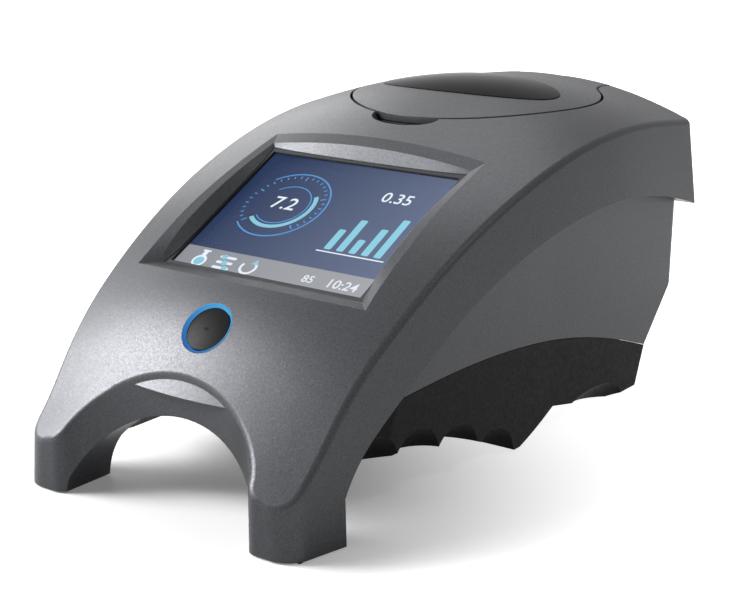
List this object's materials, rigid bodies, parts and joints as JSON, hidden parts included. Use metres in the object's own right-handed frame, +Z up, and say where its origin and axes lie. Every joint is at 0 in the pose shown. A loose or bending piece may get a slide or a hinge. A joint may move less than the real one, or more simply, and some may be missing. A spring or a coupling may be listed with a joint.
{
  "type": "portable water quality analyzer",
  "caption": "Handheld photometer with a crowned grey housing on front legs, a black finger-grip base, a tilted touch screen, a lit power button and a round hinged lid over a disc chamber.",
  "frame": {"origin": "middle of the footprint on the surface it stands on", "axes": "+X to the right of someone facing the screen, +Y from the front legs to the rear, +Z up"},
  "size_m": [0.1242, 0.215, 0.1071],
  "materials": {
    "housing_grey": "satin metallic grey paint on moulded plastic",
    "base_black": "fine matt black",
    "pad_rubber": "matt",
    "screw_steel": "zinc plated",
    "touch_glass": "polished",
    "screen_panel": "lit display surface",
    "plate_steel": "plain",
    "plate_aluminium": "brushed",
    "light_ring": "blue light guide",
    "circuit_board": "solder mask green",
    "chip_black": "matt",
    "chamber_black": "matt black",
    "optic_glass": "polished",
    "lamp_clear": "clear lens",
    "battery_wrap": "blue shrink wrap",
    "badge_black": "polished black",
    "magnet_nickel": "nickel plated",
    "button_grey": "satin dark grey",
    "hub_grey": "satin"
  },
  "bodies": {
    "housing": {"top_housing": "housing_grey", "base_grip": "base_black", "front_foot_pads": "pad_rubber", "rear_foot_pads": "pad_rubber", "case_screws": "screw_steel", "touch_glass": "touch_glass", "screen_gasket": "pad_rubber", "lcd_module": "screen_panel", "screen_bracket": "plate_steel", "bracket_screws": "screw_steel", "button_light_ring": "light_ring", "button_board": "circuit_board", "button_switch": "chip_black", "button_board_screws": "screw_steel", "catch_plates": "plate_steel", "lid_seal": "pad_rubber", "hinge_pin": "plate_steel", "chamber_tray": "chamber_black", "tray_screws": "screw_steel", "motor": "plate_steel", "motor_plate": "plate_aluminium", "motor_plate_screws": "screw_steel", "motor_screws": "screw_steel", "optics_block": "chamber_black", "floor_window": "optic_glass", "led_board": "circuit_board", "led_lamps": "lamp_clear", "led_board_screws": "screw_steel", "main_board": "circuit_board", "board_components": "chip_black", "main_board_screws": "screw_steel", "battery_pack": "battery_wrap", "battery_strap": "chamber_black", "strap_screws": "screw_steel", "socket_board": "circuit_board", "usb_socket": "plate_steel", "socket_board_screws": "screw_steel"},
    "lid": {"lid_shell": "housing_grey", "lid_badge": "badge_black", "lid_liner": "chamber_black", "lid_liner_screws": "screw_steel", "lid_window": "optic_glass", "detector_board": "circuit_board", "lid_magnets": "magnet_nickel"},
    "button": {"power_button": "button_grey"},
    "rotor": {"disc_hub": "hub_grey", "motor_shaft": "plate_steel"}
  },
  "joints": [
    {"name": "lid_hinge", "type": "hinge", "parent": "housing", "child": "lid", "pos_m": [0, 0.1015, 0.09715], "axis": [-1, 0, 0], "range_deg": [0, 95]},
    {"name": "power_button_press", "type": "slide", "parent": "housing", "child": "button", "axis": [0, 0.703, -0.7112], "range_m": [0, 0.0008], "stiffness_N_per_m": 3000, "springref_m": -0.0001},
    {"name": "disc_spindle", "type": "hinge", "parent": "housing", "child": "rotor", "pos_m": [0, 0.0585, 0.08607], "axis": [0, 0, 1], "continuous": true}
  ]
}
